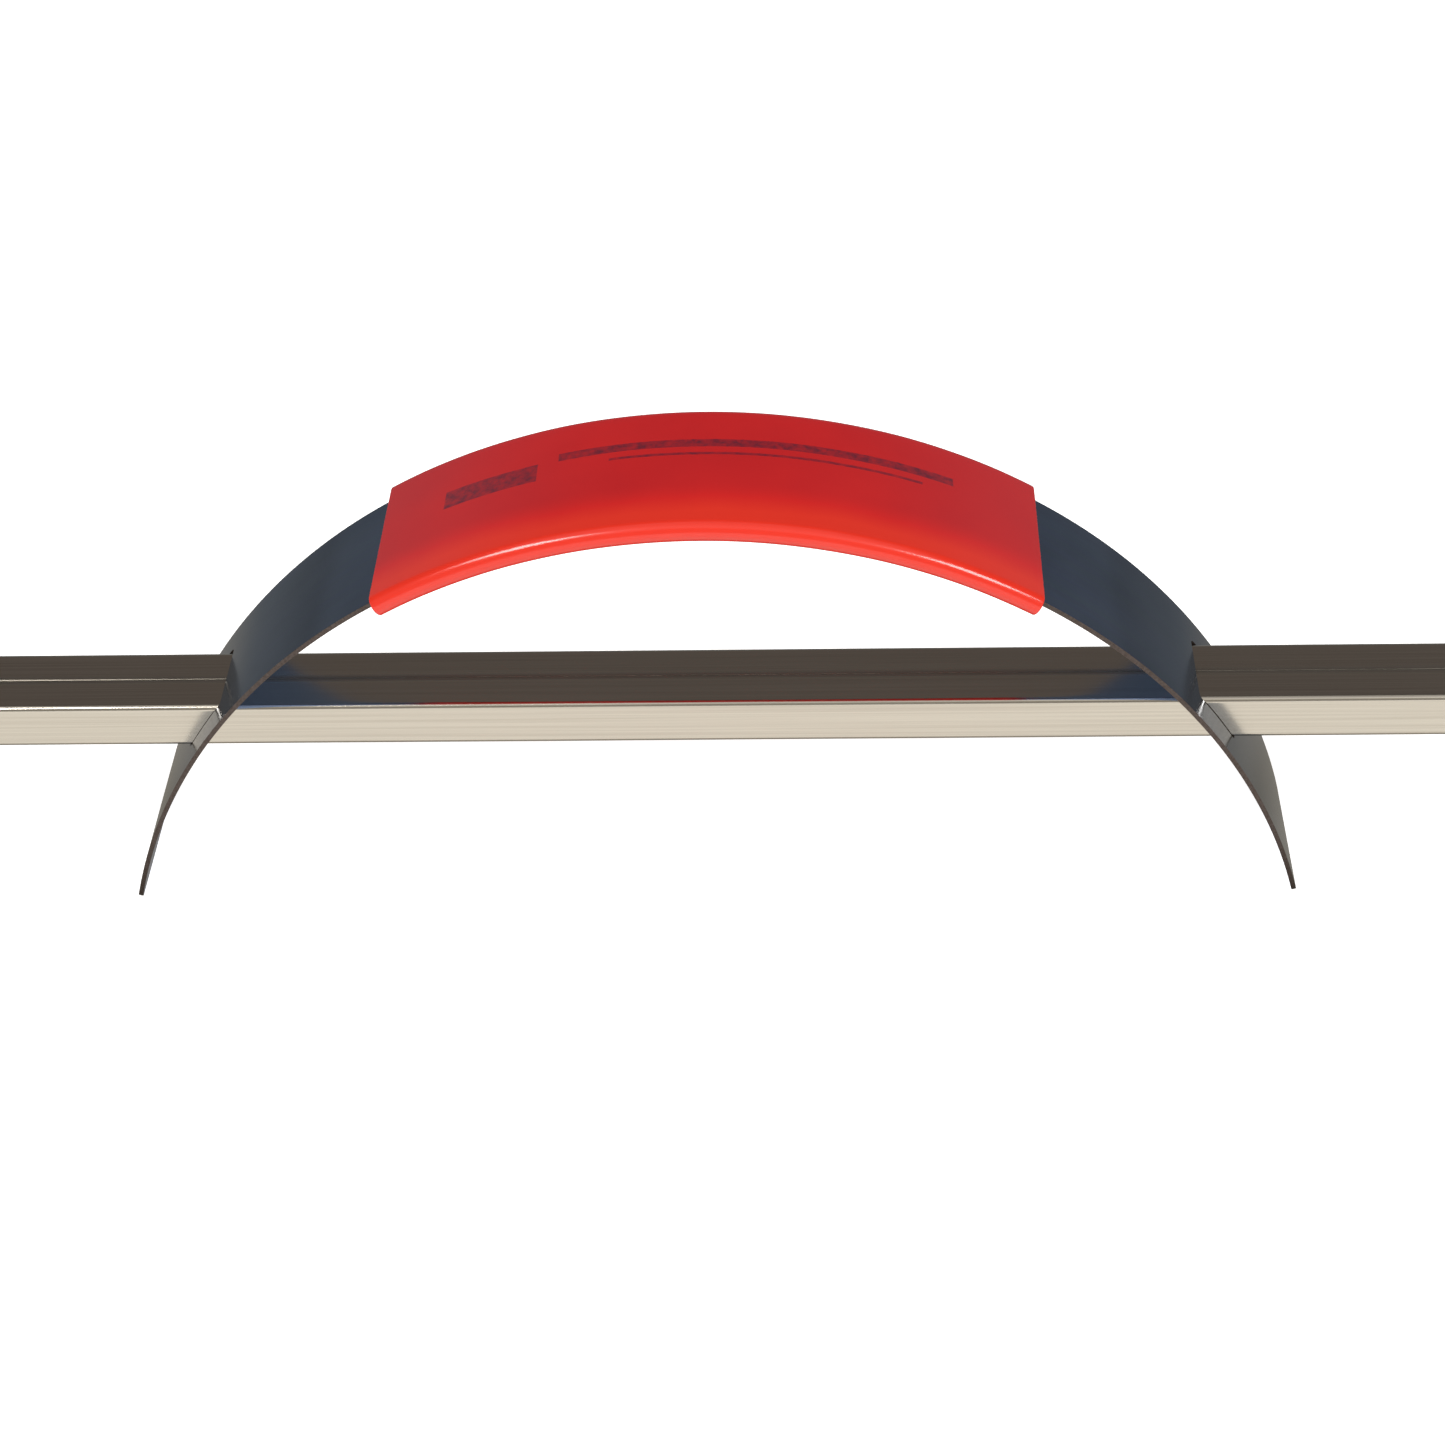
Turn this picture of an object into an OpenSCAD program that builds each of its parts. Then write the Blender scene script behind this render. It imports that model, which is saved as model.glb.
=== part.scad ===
// Magnetic nail sweeper: a long magnet bar carried in two windows of one arched spring-steel strap.
// The strap is the handle at the top and the two feet at the bottom. Units are millimetres.
// Origin: on the floor under the middle of the bar. +X along the bar, +Y to the back, +Z up.

/* [Strap handle] */
// Radius of the arch, to the middle of the strap's thickness
arch_radius = 134.8; // [115:0.1:165]
// Angle from the top of the arch down to the end of each leg
leg_angle = 75.5; // [70:0.5:84]
// Width of the strap, front to back
strap_width = 38.1; // [34:0.1:50]
// Thickness of the strap
strap_thickness = 1.07; // [0.8:0.01:1.6]
// Rounding of the corners of each foot
foot_corner = 2; // [0.5:0.5:4]
// Height of the open space for the hand, from the bar's top to the strap's underside
hand_gap = 52.3; // [42:0.1:64]

/* [Grip] */
// Length of the grip, measured along the arch
grip_length = 145.5; // [90:0.5:176]
// Wall of the grip above and below the strap
grip_wall = 2; // [1:0.1:4]
// Wall of the grip beyond the strap's front and back edges
grip_edge_wall = 3.5; // [1.5:0.1:5]
// How far along the arch the grip sits to the right of the top
grip_shift = 1.5; // [-5:0.5:5]

/* [Magnet bar] */
// Length of the bar over its end plugs
bar_length = 610; // [420:1:1000]
// Width of the bar, front to back
bar_width = 20.3; // [16:0.1:25]
// Height of the bar
bar_height = 10.9; // [9:0.1:14]
// Outside rounding of the bar's long edges
bar_edge_radius = 1.2; // [1:0.1:2]
// Thickness of the folded sheet that makes the bar's case
case_wall = 0.8; // [0.5:0.05:0.95]
// Opening of the seam along the middle of the case's top
seam_gap = 0.3; // [0.2:0.05:0.6]

/* [Magnets] */
// Length of one magnet block
magnet_length = 47.6; // [25:0.1:60]
// Height of one magnet block
magnet_height = 6; // [4:0.1:6.5]
// Smallest space between neighbouring magnet blocks
magnet_spacing = 0.5; // [0.3:0.1:2]
// Thickness of the steel strip that backs the magnets
backing_thickness = 2; // [1:0.1:2.2]

/* [End plugs and rivets] */
// Thickness of the plug's flange outside the case
plug_flange = 2; // [1:0.5:4]
// Depth of the plug inside the case
plug_depth = 14; // [12:0.5:24]
// Distance from the bar's end to the rivet's centre
rivet_inset = 8; // [7:0.5:10]
// Diameter of the rivet's shank
rivet_diameter = 3.2; // [2.4:0.1:4]
// Diameter of the rivet's head
rivet_head_diameter = 6.4; // [5:0.1:6.6]
// Height of the rivet's domed head
rivet_head_height = 1.1; // [0.8:0.1:1.6]
// Length of the rivet's shank below its head
rivet_length = 8; // [5:0.5:12]

/* [Clearances] */
// Between the strap's windows and the bar that slides through them
window_clearance = 0.3; // [0.25:0.05:0.6]
// Between the grip and the strap inside it
grip_fit = 0.05; // [0.02:0.01:0.1]
// Between a magnet block or strip and the start of the case's rounded inner corner
magnet_side_fit = 0.05; // [0.05:0.05:0.3]
// Between the plugs and what lies end to end with them inside the case
magnet_end_fit = 0.3; // [0.2:0.05:1]
// Between a plug and the inside of the case
plug_fit = 0.1; // [0.05:0.05:0.2]
// Between a rivet's shank and its hole, on the radius
rivet_fit = 0.05; // [0.02:0.01:0.1]

/* [Hidden] */
$fn = 96;
// How far a cutting tool runs past the surface that it cuts
overcut = 2;

// Arch: the centre's height puts the inner corner of each foot on the floor
strap_inner = arch_radius - strap_thickness / 2;
strap_outer = arch_radius + strap_thickness / 2;
arch_centre = -strap_inner * cos(leg_angle);

// Bar
bar_top = arch_centre + strap_inner - hand_gap;
bar_bottom = bar_top - bar_height;
bar_middle = (bar_top + bar_bottom) / 2;

// Window: it spans the bar's top and bottom planes on both faces of the strap
function along_strap(height, radius) =
    radius * sin(acos((height - arch_centre) / radius) - window_angle);
window_angle = acos((bar_middle - arch_centre) / arch_radius);
window_upper = min(
    along_strap(bar_top + window_clearance, strap_inner),
    along_strap(bar_top + window_clearance, strap_outer));
window_lower = max(
    along_strap(bar_bottom - window_clearance, strap_inner),
    along_strap(bar_bottom - window_clearance, strap_outer));
window_width = bar_width + 2 * window_clearance;

// Inside of the case
room_width = bar_width - 2 * case_wall;
room_height = bar_height - 2 * case_wall;
room_bottom = bar_bottom + case_wall;
room_corner = bar_edge_radius - case_wall;
case_length = bar_length - 2 * plug_flange;
stack_width = room_width - 2 * (room_corner + magnet_side_fit);
stack_length = case_length - 2 * (plug_depth + magnet_end_fit);
packing_thickness = room_height - magnet_height - backing_thickness;

// Row of magnets: as many as the case takes, spread from plug to plug
magnet_count = floor((stack_length + magnet_spacing) / (magnet_length + magnet_spacing));
magnet_pitch = (stack_length - magnet_length) / (magnet_count - 1);
function magnet_name(i) = str("magnet_", i < 10 ? "0" : "", i);

// Grip
grip_width = strap_width + 2 * grip_edge_wall;
grip_height = strap_thickness + 2 * grip_wall;
grip_angle = grip_length / arch_radius * 180 / PI;
grip_turn = grip_shift / arch_radius * 180 / PI;

// A flat rectangle with round corners, centred, x by y
module rounded_rectangle(x, y, corner) {
    square([x - 2 * corner, y], center = true);
    square([x, y - 2 * corner], center = true);
    for (i = [-1, 1], j = [-1, 1])
        translate([i * (x / 2 - corner), j * (y / 2 - corner)]) circle(corner);
}

// Sweeps a flat section round the arch: the section's x is outward and its y is front to back
module arch_sweep(middle, angle) {
    translate([0, 0, arch_centre]) rotate([90, middle, 0]) rotate([0, 0, 90 - angle / 2])
        rotate_extrude(angle = angle, $fn = 240) translate([arch_radius, 0]) children();
}

// Puts a child on the strap at an angle from the top: x runs down the leg, z points outward
module on_arch(angle) {
    translate([0, 0, arch_centre]) rotate([0, angle, 0]) translate([0, 0, arch_radius]) children();
}

// Cuts a flat outline straight through the strap
module punch() {
    translate([0, 0, -overcut]) linear_extrude(2 * overcut) children();
}

// Lays a flat section along the bar: the section's x is front to back and its y is up
module along_bar(length) {
    rotate([90, 0, 90]) linear_extrude(length, center = true) children();
}

// A plain block along the bar that stands on a height
module block(length, width, bottom, height) {
    translate([0, 0, bottom + height / 2]) cube([length, width, height], center = true);
}

module window_outline() {
    translate([(window_upper + window_lower) / 2, 0])
        square([window_lower - window_upper, window_width], center = true);
}

module foot_corner_outline() {
    for (back = [0, 1]) mirror([0, back])
        translate([-foot_corner, strap_width / 2 - foot_corner]) difference() {
            square(foot_corner + overcut);
            circle(foot_corner);
        }
}

// One strip of tempered spring steel, bent to an arch: handle, guide for the bar and feet
module handle_strap() {
    color("#2b3140") difference() {
        arch_sweep(0, 2 * leg_angle) square([strap_thickness, strap_width], center = true);
        for (side = [0, 1]) mirror([side, 0, 0]) {
            on_arch(window_angle) punch() window_outline();
            on_arch(leg_angle) punch() foot_corner_outline();
        }
    }
}

// Vinyl sleeve pushed over the top of the arch, with fully rounded long edges
module grip_sleeve() {
    color("#d8262b") arch_sweep(grip_turn, grip_angle) difference() {
        rounded_rectangle(grip_height, grip_width, grip_height / 2 - 0.05);
        square([strap_thickness + 2 * grip_fit, strap_width + 2 * grip_fit], center = true);
    }
}

// Stainless sheet folded round the magnets, its two edges meeting along the middle of the top
module bar_case() {
    color("#8d8a84") difference() {
        translate([0, 0, bar_middle]) along_bar(case_length) difference() {
            rounded_rectangle(bar_width, bar_height, bar_edge_radius);
            rounded_rectangle(room_width, room_height, room_corner);
            translate([-seam_gap / 2, 0]) square([seam_gap, bar_height]);
        }
        for (side = [0, 1]) mirror([side, 0, 0]) rivet_place() rivet_hole();
    }
}

// Mild-steel strip on the magnets' upper poles, which turns their field down
module backing_strip() {
    color("#6b6e72") block(stack_length, stack_width, room_bottom + magnet_height, backing_thickness);
}

// Foam strip between the backing strip and the case's top, which keeps the stack from rattling
module packing_strip() {
    color("#3a3a3a") block(stack_length, stack_width,
        room_bottom + magnet_height + backing_thickness, packing_thickness);
}

// Ferrite block, magnetised through its height; number 1 is at the left end
module magnet(i) {
    color("#4a4745") translate([-(stack_length - magnet_length) / 2 + (i - 1) * magnet_pitch, 0, 0])
        block(magnet_length, stack_width, room_bottom, magnet_height);
}

// Puts a child on the right rivet's axis, where it enters the back of the case: z points out
module rivet_place() {
    translate([bar_length / 2 - rivet_inset, bar_width / 2, bar_middle]) rotate([-90, 0, 0]) children();
}

module rivet_hole() {
    translate([0, 0, -rivet_length - rivet_fit])
        cylinder(h = rivet_length + rivet_fit + overcut, d = rivet_diameter + 2 * rivet_fit);
}

// Moulded plug: the stem fills the case's end and the flange closes it, flush with the bar
module end_plug() {
    color("#1d1d1f") difference() {
        translate([0, 0, bar_middle]) {
            translate([(bar_length - plug_flange) / 2, 0, 0]) along_bar(plug_flange)
                rounded_rectangle(bar_width, bar_height, bar_edge_radius);
            translate([(case_length - plug_depth) / 2, 0, 0]) along_bar(plug_depth)
                rounded_rectangle(room_width - 2 * plug_fit, room_height - 2 * plug_fit, room_corner);
        }
        rivet_place() rivet_hole();
    }
}

// Blind rivet that holds the plug; its head also stops the strap from running off the bar
module end_rivet() {
    dome = (pow(rivet_head_diameter / 2, 2) + pow(rivet_head_height, 2)) / (2 * rivet_head_height);
    color("#b9bcc0") rivet_place() {
        intersection() {
            cylinder(h = rivet_head_height, d = rivet_head_diameter);
            translate([0, 0, rivet_head_height - dome]) sphere(dome);
        }
        translate([0, 0, -rivet_length]) cylinder(h = rivet_length + rivet_head_height / 2, d = rivet_diameter);
    }
}

handle_strap();
grip_sleeve();
bar_case();
backing_strip();
packing_strip();
mirror([1, 0, 0]) end_plug();  // end_plug_left
end_plug();  // end_plug_right
mirror([1, 0, 0]) end_rivet();  // end_rivet_left
end_rivet();  // end_rivet_right
for (i = [1:magnet_count]) magnet(i);
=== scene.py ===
"""Magnetic nail sweeper: an arched spring-steel handle that slides along a magnet bar."""

import math

import bmesh
import bpy
from mathutils import Matrix, Vector, noise


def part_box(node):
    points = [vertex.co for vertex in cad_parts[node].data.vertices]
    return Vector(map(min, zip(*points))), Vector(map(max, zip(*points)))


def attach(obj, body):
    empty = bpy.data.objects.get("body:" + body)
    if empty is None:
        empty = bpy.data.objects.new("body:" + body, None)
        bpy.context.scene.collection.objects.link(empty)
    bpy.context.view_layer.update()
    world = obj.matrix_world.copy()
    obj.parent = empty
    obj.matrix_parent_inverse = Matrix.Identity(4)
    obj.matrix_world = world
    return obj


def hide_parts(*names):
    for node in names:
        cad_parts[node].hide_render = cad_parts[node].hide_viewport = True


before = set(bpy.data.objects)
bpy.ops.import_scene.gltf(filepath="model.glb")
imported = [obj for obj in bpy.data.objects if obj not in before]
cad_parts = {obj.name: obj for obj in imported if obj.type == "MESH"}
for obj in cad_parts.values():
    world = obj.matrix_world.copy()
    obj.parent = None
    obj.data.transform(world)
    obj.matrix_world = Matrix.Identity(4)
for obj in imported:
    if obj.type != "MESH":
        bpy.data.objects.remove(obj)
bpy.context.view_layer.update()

bl_info = {
    "name": "Magnetic nail sweeper",
    "version": (1, 0, 0),
    "blender": (4, 5, 0),
    "location": "View3D > Sidebar > Sweeper",
    "description": "Builds the looks of the nail sweeper's handle, grip and magnet bar on its fixed frame",
    "category": "Object",
}

MM = 0.001
FLOOR_REACH = 14.0
LAMP_DISTANCE = 1.3
STRAP_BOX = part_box("handle_strap")
GRIP_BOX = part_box("grip_sleeve")
CASE_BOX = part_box("bar_case")
PLUG_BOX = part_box("end_plug_right")
RIVET_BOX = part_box("end_rivet_right")
MAGNETS = sorted(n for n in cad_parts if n.startswith("magnet_"))


# ---------------------------------------------------------------- sizes and colours to set


def length(name, what, value):
    """A size in metres."""
    return bpy.props.FloatProperty(
        name=name, description=what, default=value, min=0.0, max=1.0,
        subtype="DISTANCE", unit="LENGTH", precision=5)


def colour(name, what, code):
    """A finish's colour, as an sRGB hex code."""
    return bpy.props.StringProperty(name=name, description=what, default=code, maxlen=7)


class SweeperSizes(bpy.types.PropertyGroup):
    """Sizes of the pieces. The frame's own boxes give those that it fixes."""

    strap_thickness: length("Strap thickness", "Thickness of the spring-steel strip", 1.07 * MM)
    strap_edge: length("Strap edge", "Deburring on the strip's sheared edges", 0.1 * MM)
    foot_corner: length("Foot corner", "Rounding of the corners at the feet", 2 * MM)
    window_gap: length("Window gap", "Space between a window and the bar in it", 0.3 * MM)
    window_corner: length("Window corner", "Rounding in the punched window's corners", 1.3 * MM)
    grip_height: length("Grip height", "Height of the vinyl sleeve's section", 5.07 * MM)
    grip_bore: length("Grip bore", "Space between the sleeve and the strap, on each side", 0.05 * MM)
    grip_lip: length("Grip lip", "Rounding where the sleeve's ends were cut", 0.35 * MM)
    case_wall: length("Case wall", "Thickness of the folded stainless sheet", 0.8 * MM)
    case_corner: length("Case corner", "Outside rounding of the folds", 1.2 * MM)
    seam_gap: length("Seam gap", "Opening of the seam along the middle of the top", 0.3 * MM)
    plug_flange: length("Plug flange", "Thickness of the plug outside the case", 2 * MM)
    plug_depth: length("Plug depth", "Depth of the plug inside the case", 14 * MM)
    plug_fit: length("Plug fit", "Space between the plug and the inside of the case", 0.1 * MM)
    rivet_shank: length("Rivet shank", "Diameter of the blind rivet's shank", 3.2 * MM)
    rivet_length: length("Rivet length", "Length of the shank below the head", 8 * MM)
    magnet_chamfer: length("Magnet chamfer", "Ground chamfer on the magnets' edges", 0.35 * MM)


class SweeperColours(bpy.types.PropertyGroup):
    """Colours of the finishes, as sRGB hex codes."""

    blue: colour("Blued steel", "Temper blue of the strip", "#687286")
    blue_deep: colour("Blued steel, deep", "Darker bloom in the temper blue", "#586375")
    # Painted light: a paler blue that stands in for light on the strap's inner face
    blue_inner_painted_light: colour("Blued steel, inside", "Paler blue on the hollow side of the bend", "#869fd0")
    sheared: colour("Sheared edge", "Brown oxide on the strip's cut edges", "#453a34")
    red: colour("Vinyl", "Red of the vinyl", "#d91f1d")
    red_deep: colour("Vinyl, deep", "Deeper red of the sleeve's back and middle", "#c01a1f")
    # Painted light: the sleeve's front edge is painted a brighter red, standing in for light through the
    # vinyl; the back and middle keep the deeper red
    red_front_painted_light: colour("Vinyl, edge", "Brighter red along the sleeve's front edge", "#e6311f")
    ink: colour("Ink", "Worn dark ink of the printed block and lines", "#4a1a2e")
    steel: colour("Stainless", "Folded stainless sheet", "#c4bdb0")
    steel_deep: colour("Stainless, deep", "Rolling streaks in the stainless sheet", "#b9b1a4")
    steel_torn: colour("Stainless, cut", "Stainless torn and dulled along the seam", "#8f887d")
    plug: colour("Plug plastic", "Moulded plastic of the plugs", "#1c1c1e")
    rivet: colour("Rivet aluminium", "Aluminium of the rivets", "#c9cbce")
    ferrite: colour("Ferrite", "Ground ferrite of the magnets", "#46433f")
    backing: colour("Mild steel", "Mild steel of the backing strip", "#8a8d90")
    foam: colour("Foam", "Foam of the packing strip", "#2b2b2c")
    floor: colour("Floor", "Pale paper under the sweeper", "#f4f3f0")


class SweeperStage(bpy.types.PropertyGroup):
    """The camera."""

    lens: bpy.props.FloatProperty(
        name="Lens", description="Focal length on a 36 mm wide sensor", default=73.9,
        min=10, max=400, subtype="DISTANCE_CAMERA", unit="CAMERA")
    heading: bpy.props.FloatProperty(
        name="Heading", description="Turn of the view away from +Y, towards +X",
        default=-0.05206, subtype="ANGLE", unit="ROTATION")
    tilt: bpy.props.FloatProperty(
        name="Tilt", description="How far the view looks down", default=0.66661,
        subtype="ANGLE", unit="ROTATION")
    roll: bpy.props.FloatProperty(
        name="Roll", description="Turn of the picture in its plane", default=-0.04006,
        subtype="ANGLE", unit="ROTATION")
    place: bpy.props.FloatVectorProperty(
        name="Place", description="Where the camera stands",
        default=(0.02988, -0.52077, 0.4452), subtype="TRANSLATION", unit="LENGTH")


# ---------------------------------------------------------------- small tools


def linear(code):
    """An sRGB hex code as a linear colour with alpha."""
    parts = [int(code[i:i + 2], 16) / 255 for i in (1, 3, 5)]
    return tuple(c / 12.92 if c <= 0.04045 else ((c + 0.055) / 1.055) ** 2.4 for c in parts) + (1.0,)


def node(tree, kind, values=None, links=None, ramp=None, **settings):
    """Adds a node with its settings, its fixed values, its links and a ramp's stops."""
    made = tree.nodes.new(kind)
    for key, value in settings.items():
        setattr(made, key, value)
    for key, value in (values or {}).items():
        made.inputs[key].default_value = value
    for key, socket in (links or {}).items():
        tree.links.new(socket, made.inputs[key])
    if ramp:
        stops = made.color_ramp.elements
        while len(stops) < len(ramp):
            stops.new(1.0)
        for stop, (place, shade) in zip(stops, ramp):
            stop.position, stop.color = place, shade
    return made


def new_material(name):
    """An empty material with its shader and output in place."""
    made = bpy.data.materials.new(name)
    made.use_nodes = True
    tree = made.node_tree
    tree.nodes.clear()
    shader = node(tree, "ShaderNodeBsdfPrincipled")
    node(tree, "ShaderNodeOutputMaterial", links={"Surface": shader.outputs["BSDF"]})
    return made, tree, shader


def finish_shader(tree, shader, **values):
    """Fills the shader's own sockets: a node's output is linked, anything else is set."""
    for key, value in values.items():
        socket = shader.inputs[key.replace("_", " ")]
        if isinstance(value, bpy.types.NodeSocket):
            tree.links.new(value, socket)
        else:
            socket.default_value = value


def require(holds, fault):
    """Stops an operator whose sizes can't make its piece."""
    if not holds:
        raise ValueError(fault)


def mesh_object(name, bm, materials, body, nodes):
    """Turns a bmesh into a piece that rides a body and stands for its frame nodes."""
    mesh = bpy.data.meshes.new(name)
    bmesh.ops.recalc_face_normals(bm, faces=bm.faces)
    bm.to_mesh(mesh)
    bm.free()
    piece = bpy.data.objects.new(name, mesh)
    bpy.context.scene.collection.objects.link(piece)
    for material in materials:
        mesh.materials.append(material)
    for face in mesh.polygons:
        face.use_smooth = True
    weighted = piece.modifiers.new("even_normals", "WEIGHTED_NORMAL")
    weighted.keep_sharp = True
    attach(piece, body)
    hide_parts(*nodes)


def skin(bm, rings, close=False):
    """Lays faces between neighbouring rings of vertices. close joins the last ring to the first."""
    count = len(rings[0])
    pairs = list(zip(rings, rings[1:])) + ([(rings[-1], rings[0])] if close else [])
    for a, b in pairs:
        for i in range(count):
            j = (i + 1) % count
            bm.faces.new((a[i], a[j], b[j], b[i]))


def rounded_loop(width, height, corner, along=1, up=1, turn=6):
    """Points of a rounded rectangle, anticlockwise from the top of its right side."""
    w, h = width / 2 - corner, height / 2 - corner
    points = []
    for cx, cy, start in ((w, h, 0), (-w, h, 90), (-w, -h, 180), (w, -h, 270)):
        for k in range(turn + 1):
            a = math.radians(start + 90 * k / turn)
            points.append((cx + corner * math.cos(a), cy + corner * math.sin(a)))
        steps = along if start in (0, 180) else up
        last = points[-1]
        nxt = {0: (-w, h + corner), 90: (-w - corner, -h), 180: (w, -h - corner), 270: (w + corner, h)}[start]
        for k in range(1, steps):
            t = k / steps
            points.append((last[0] + (nxt[0] - last[0]) * t, last[1] + (nxt[1] - last[1]) * t))
    return points


def loft_along_bar(bm, loops, z):
    """Skins rounded rectangles (x, width, height, corner) along the bar and closes both ends."""
    rings = [[bm.verts.new((x, a, z + b)) for a, b in rounded_loop(w, h, c, 3, 2, 5)]
             for x, w, h, c in loops]
    skin(bm, rings)
    bm.faces.new(rings[0])
    bm.faces.new(rings[-1])


# ---------------------------------------------------------------- finishes


def blued_steel(colours):
    """Spring steel, cold rolled, tempered and blued: a dark glassy blue with soft clouds of
    bloom and fine rolling lines along the strip."""
    made, tree, shader = new_material("spring_steel_cold_rolled_blued")
    flat = node(tree, "ShaderNodeAttribute", attribute_name="strip").outputs["Vector"]
    # Rolling lines are about 0.1 mm apart; drawn at 0.4 mm so that they show
    lines = node(tree, "ShaderNodeMapping", {"Scale": (12, 2500, 1)}, {"Vector": flat})
    rolled = node(tree, "ShaderNodeTexNoise", {"Scale": 1.0, "Detail": 3.0},
                  {"Vector": lines.outputs["Vector"]})
    # Temper bloom: clouds 20 to 40 mm across
    bloom = node(tree, "ShaderNodeTexNoise", {"Scale": 34.0, "Detail": 4.0, "Roughness": 0.55},
                 {"Vector": flat})
    shade = node(tree, "ShaderNodeValToRGB", links={"Fac": bloom.outputs["Fac"]},
                 ramp=[(0.32, linear(colours.blue_deep)), (0.68, linear(colours.blue))])
    # Painted light: the hollow side of the bend is painted a paler blue, standing in for the brighter light
    # on the strap's inner face
    depth = node(tree, "ShaderNodeSeparateXYZ", links={"Vector": flat}).outputs["Z"]
    side = node(tree, "ShaderNodeMapRange", {"From Min": 0.0002, "From Max": -0.0002}, {"Value": depth})
    face = node(tree, "ShaderNodeMix", {"B": linear(colours.blue_inner_painted_light)},
                {"Factor": side.outputs["Result"], "A": shade.outputs["Color"]}, data_type="RGBA")
    tint = node(tree, "ShaderNodeMix", {"Factor": 0.18},
                {"A": face.outputs["Result"], "B": rolled.outputs["Color"]},
                data_type="RGBA", blend_type="OVERLAY")
    gloss = node(tree, "ShaderNodeMapRange", {"To Min": 0.10, "To Max": 0.20},
                 {"Value": bloom.outputs["Fac"]})
    relief = node(tree, "ShaderNodeBump", {"Strength": 0.06, "Distance": 0.00002},
                  {"Height": rolled.outputs["Fac"]})
    finish_shader(tree, shader, Base_Color=tint.outputs["Result"], Roughness=gloss.outputs["Result"],
                  Normal=relief.outputs["Normal"], Metallic=1.0)
    return made


def sheared_edge(colours):
    """The strip's sheared edge: a dull brown oxide, torn finely across the thickness."""
    made, tree, shader = new_material("spring_steel_sheared_oxidised")
    place = node(tree, "ShaderNodeTexCoord").outputs["Object"]
    # Shear marks are about 0.15 mm apart; drawn at 0.4 mm so that they show
    torn = node(tree, "ShaderNodeTexNoise", {"Scale": 2500.0, "Detail": 2.0}, {"Vector": place})
    shade = node(tree, "ShaderNodeValToRGB", links={"Fac": torn.outputs["Fac"]},
                 ramp=[(0.3, linear(colours.sheared)), (0.8, linear("#5c524e"))])
    relief = node(tree, "ShaderNodeBump", {"Strength": 0.2, "Distance": 0.00003},
                  {"Height": torn.outputs["Fac"]})
    finish_shader(tree, shader, Base_Color=shade.outputs["Color"], Normal=relief.outputs["Normal"],
                  Metallic=0.7, Roughness=0.45)
    return made


def printed_ink(tree, flat):
    """How much worn ink lies on the sleeve: a plain block and two plain lines on its top."""
    nearest = None
    # Middle and half size of each mark, along and across the sleeve
    for middle, half in (((-0.0450, 0.0045), (0.0105, 0.0032)),
                         ((0.0120, 0.0085), (0.0420, 0.0014)),
                         ((0.0140, 0.0045), (0.0330, 0.00045))):
        aside = node(tree, "ShaderNodeVectorMath", {1: (*middle, 0.0)}, {0: flat}, operation="SUBTRACT")
        far = node(tree, "ShaderNodeVectorMath", links={0: aside.outputs["Vector"]}, operation="ABSOLUTE")
        past = node(tree, "ShaderNodeVectorMath", {1: (*half, 0.0)}, {0: far.outputs["Vector"]},
                    operation="SUBTRACT")
        axes = node(tree, "ShaderNodeSeparateXYZ", links={"Vector": past.outputs["Vector"]})
        edge = node(tree, "ShaderNodeMath", links={0: axes.outputs["X"], 1: axes.outputs["Y"]},
                    operation="MAXIMUM")
        if nearest:
            edge = node(tree, "ShaderNodeMath", links={0: nearest.outputs["Value"], 1: edge.outputs["Value"]},
                        operation="MINIMUM")
        nearest = edge
    # The ink's edge is soft over 0.2 mm
    printed = node(tree, "ShaderNodeMapRange", {"From Min": 0.0001, "From Max": -0.0001},
                   {"Value": nearest.outputs["Value"]})
    height = node(tree, "ShaderNodeSeparateXYZ", links={"Vector": flat})
    top = node(tree, "ShaderNodeMath", {1: 0.0}, {0: height.outputs["Z"]}, operation="GREATER_THAN")
    # Rubbed by the hand: patches of ink about 2 mm across are half gone
    rub = node(tree, "ShaderNodeTexNoise", {"Scale": 420.0, "Detail": 4.0, "Roughness": 0.7},
               {"Vector": flat})
    left = node(tree, "ShaderNodeMapRange",
                {"From Min": 0.35, "From Max": 0.65, "To Min": 0.35, "To Max": 0.85},
                {"Value": rub.outputs["Fac"]})
    above = node(tree, "ShaderNodeMath", links={0: printed.outputs["Result"], 1: top.outputs["Value"]},
                 operation="MULTIPLY")
    return node(tree, "ShaderNodeMath", links={0: above.outputs["Value"], 1: left.outputs["Result"]},
                operation="MULTIPLY").outputs["Value"]


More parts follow.
